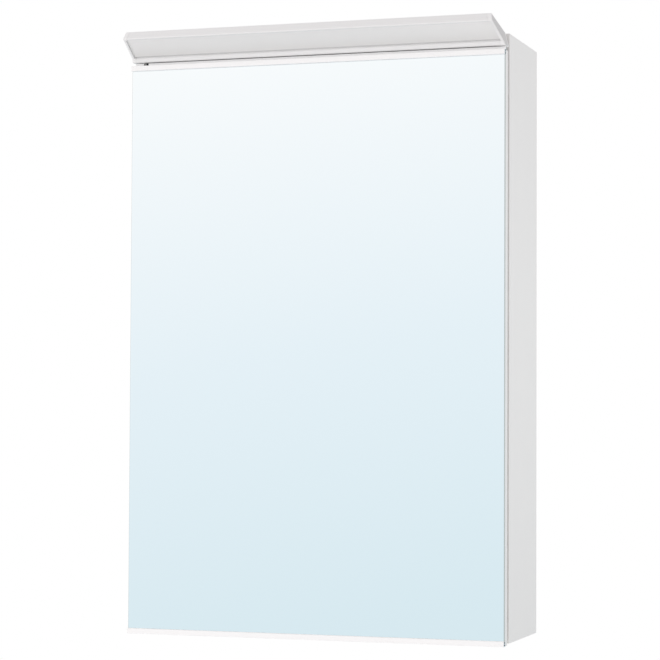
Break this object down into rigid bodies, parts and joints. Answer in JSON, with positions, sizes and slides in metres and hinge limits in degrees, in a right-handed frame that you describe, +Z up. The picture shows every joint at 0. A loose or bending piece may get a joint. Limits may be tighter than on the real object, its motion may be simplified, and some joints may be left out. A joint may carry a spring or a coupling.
{
  "type": "lighted mirror cabinet",
  "caption": "Wall-hung bathroom cabinet with a hinged full-front mirror door, glass shelves inside and a slanted LED light along the top.",
  "frame": {"origin": "midway between the two upper wall-screw holes, on the wall plane", "axes": "+X to the right of someone facing the mirror, +Y into the wall, +Z up"},
  "size_m": [0.4, 0.173, 0.6271],
  "materials": {
    "board_white": "white melamine foil on particleboard, satin",
    "back_white": "white lacquered hardboard",
    "rail_board": "bare particleboard",
    "dowel_wood": "fluted beech",
    "cast_zinc": "die-cast zinc alloy",
    "zinc_steel": "zinc plated",
    "nickel_steel": "nickel plated, satin",
    "clear_soft": "clear soft polyurethane",
    "shelf_glass": "tempered clear glass, ground edges",
    "door_white": "white foil on fibreboard, satin",
    "mirror": "silvered float glass",
    "foam_tape": "closed-cell foam tape",
    "strip_white": "white powder coat on aluminium extrusion",
    "light_white": "white powder coat on sheet aluminium",
    "cap_white": "moulded white plastic, fine matt",
    "opal": "opal acrylic, satin, unlit",
    "led_board_white": "white solder mask",
    "led_phosphor": "phosphor under clear resin",
    "switch_black": "moulded black plastic",
    "box_white": "moulded white plastic",
    "driver_grey": "moulded grey plastic",
    "terminal_white": "moulded polyamide",
    "terminal_brass": "nickel-free brass",
    "grommet_rubber": "black rubber",
    "lead_white": "white PVC sheath"
  },
  "bodies": {
    "cabinet": {"side_panel_left": "board_white", "side_panel_right": "board_white", "top_panel": "board_white", "bottom_panel": "board_white", "back_panel": "back_white", "hanging_rail_upper": "rail_board", "hanging_rail_lower": "rail_board", "wood_dowels": "dowel_wood", "cam_locks": "cast_zinc", "cam_bolts": "zinc_steel", "hinge_plate_screws": "zinc_steel", "hinge_arm_screws": "zinc_steel", "light_screws": "zinc_steel", "power_box_screws": "zinc_steel", "cover_screws": "zinc_steel", "hinge_plate_upper": "nickel_steel", "hinge_plate_lower": "nickel_steel", "hinge_arm_upper": "nickel_steel", "hinge_arm_lower": "nickel_steel", "shelf_supports": "nickel_steel", "shelf_pads": "clear_soft", "door_bumpers": "clear_soft", "shelf_upper": "shelf_glass", "shelf_lower": "shelf_glass", "light_housing": "light_white", "light_end_left": "cap_white", "light_end_right": "cap_white", "light_diffuser": "opal", "led_board": "led_board_white", "led_chips": "led_phosphor", "switch_body": "switch_black", "power_box_base": "box_white", "power_box_cover": "box_white", "led_driver": "driver_grey", "terminal_block": "terminal_white", "terminal_screws": "terminal_brass", "cable_grommet": "grommet_rubber", "led_lead": "lead_white", "switch_lead": "lead_white", "mains_leads": "lead_white"},
    "door": {"door_board": "door_white", "mirror_glass": "mirror", "mirror_tapes": "foam_tape", "door_strip_top": "strip_white", "door_strip_bottom": "strip_white", "hinge_cup_upper": "nickel_steel", "hinge_cup_lower": "nickel_steel", "hinge_pins": "nickel_steel", "hinge_cup_screws": "zinc_steel"},
    "switch_button": {"switch_button": "switch_black"}
  },
  "joints": [
    {"name": "door_hinge", "type": "hinge", "parent": "cabinet", "child": "door", "pos_m": [-0.1919, -0.1298, 0], "axis": [0, 0, -1], "range_deg": [0, 95]},
    {"name": "switch_press", "type": "slide", "parent": "cabinet", "child": "switch_button", "axis": [0, 0, 1], "range_m": [0, 0.0015], "stiffness_N_per_m": 300, "springref_m": -0.0005}
  ]
}
